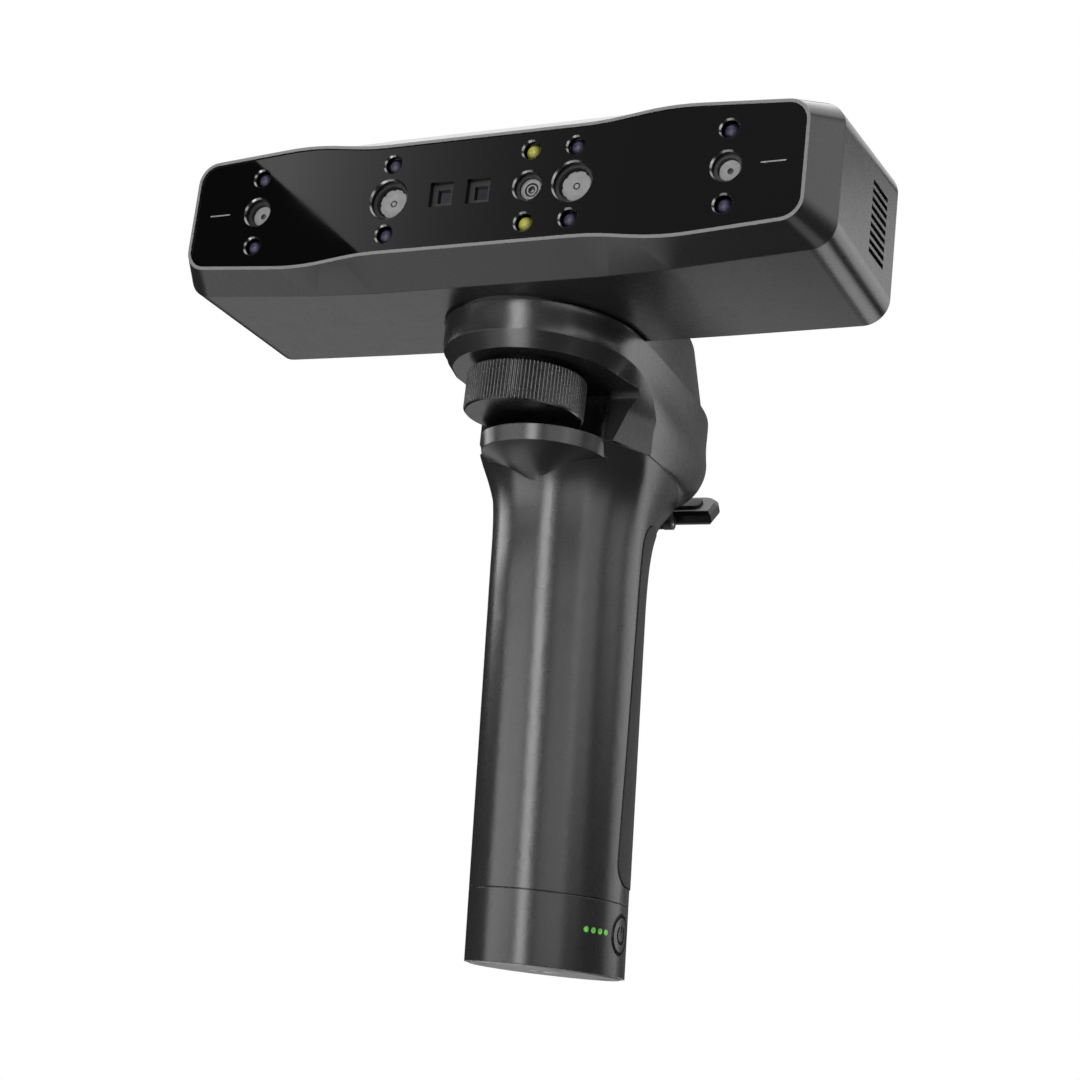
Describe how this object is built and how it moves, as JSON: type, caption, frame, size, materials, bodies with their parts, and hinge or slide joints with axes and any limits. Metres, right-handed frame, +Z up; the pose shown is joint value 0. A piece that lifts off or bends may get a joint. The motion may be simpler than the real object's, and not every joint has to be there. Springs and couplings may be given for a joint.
{
  "type": "three-d scanner",
  "caption": "Handheld three-d scanner: a long lens-fronted head clamped by a thumb screw on the neck of a raked battery grip.",
  "frame": {"origin": "mouth of the tripod socket, at the centre of the underside of the base", "axes": "+Z up along the height of the scanner, -Y the way the lenses look, +X along the head on the side of the power button"},
  "size_m": [0.2184, 0.1622, 0.2467],
  "materials": {
    "shell": "satin dark grey moulding",
    "grip_rubber": "fine matt rubber",
    "base_grey": "matt grey moulding",
    "black_plastic": "matt black",
    "gloss_black": "polished black",
    "knob": "fluted dark grey",
    "window_black": "black backed polished glass",
    "lens_glass": "coated optical glass",
    "barrel": "black anodised",
    "infrared_dome": "dark blue clear dome",
    "yellow_dome": "yellow clear dome",
    "green_light": "lit green light pipe",
    "steel": "turned",
    "black_steel": "blackened",
    "brass": "turned",
    "aluminium": "machined",
    "board": "circuit board lacquer",
    "cell": "sleeved steel can"
  },
  "bodies": {
    "body": {"grip_shell": "shell", "grip_pad": "grip_rubber", "base_cap": "shell", "base_plate": "base_grey", "tripod_bush": "steel", "base_screws": "black_steel", "power_board": "board", "push_switch": "black_plastic", "charge_socket": "steel", "charge_lights": "green_light", "battery_cell_front": "cell", "battery_cell_rear": "cell", "battery_carrier": "black_plastic", "bridge_shell": "shell", "wireless_board": "board", "hump_housing": "shell", "seat_pad": "grip_rubber", "front_bezel": "shell", "front_window": "window_black", "window_gasket": "grip_rubber", "head_rear_shell": "shell", "head_bush": "brass", "optical_bench": "aluminium", "main_board": "board", "heat_sink": "aluminium", "data_socket": "steel", "case_screws": "black_steel", "infrared_lights": "infrared_dome", "fill_lights": "yellow_dome", "rest_bracket_left": "black_plastic", "rest_bracket_right": "black_plastic", "rest_pin": "steel", "outer_camera_left_barrel": "barrel", "outer_camera_left_lens": "lens_glass", "near_camera_left_barrel": "barrel", "near_camera_left_lens": "lens_glass", "colour_camera_barrel": "barrel", "colour_camera_lens": "lens_glass", "near_camera_right_barrel": "barrel", "near_camera_right_lens": "lens_glass", "outer_camera_right_barrel": "barrel", "outer_camera_right_lens": "lens_glass", "projector_left_housing": "barrel", "projector_left_lens": "lens_glass", "projector_right_housing": "barrel", "projector_right_lens": "lens_glass"},
    "screw_carrier": {"thrust_washer": "black_plastic"},
    "screw": {"thumb_knob": "knob", "thumb_screw": "steel", "retaining_ring": "steel"},
    "button": {"power_button": "shell"},
    "rest": {"phone_rest": "gloss_black", "rest_strip": "grip_rubber"}
  },
  "joints": [
    {"name": "screw_travel", "type": "slide", "parent": "body", "child": "screw_carrier", "axis": [0, 0, -1], "range_m": [0, 0.0026]},
    {"name": "screw_turn", "type": "hinge", "parent": "screw_carrier", "child": "screw", "pos_m": [0, -0.058, 0.17], "axis": [0, 0, -1], "range_deg": [0, 720]},
    {"name": "power_press", "type": "slide", "parent": "body", "child": "button", "axis": [-1, 0, 0], "range_m": [0, 0.0006], "stiffness_N_per_m": 2000, "springref_m": -0.0003},
    {"name": "rest_fold", "type": "hinge", "parent": "body", "child": "rest", "pos_m": [0, 0.0443, 0.1598], "axis": [-1, 0, 0], "range_deg": [0, 75]}
  ],
  "couplings": [
    {"joint": "screw_travel", "follows": "screw_turn", "m_per_rad": 0.00020213}
  ]
}
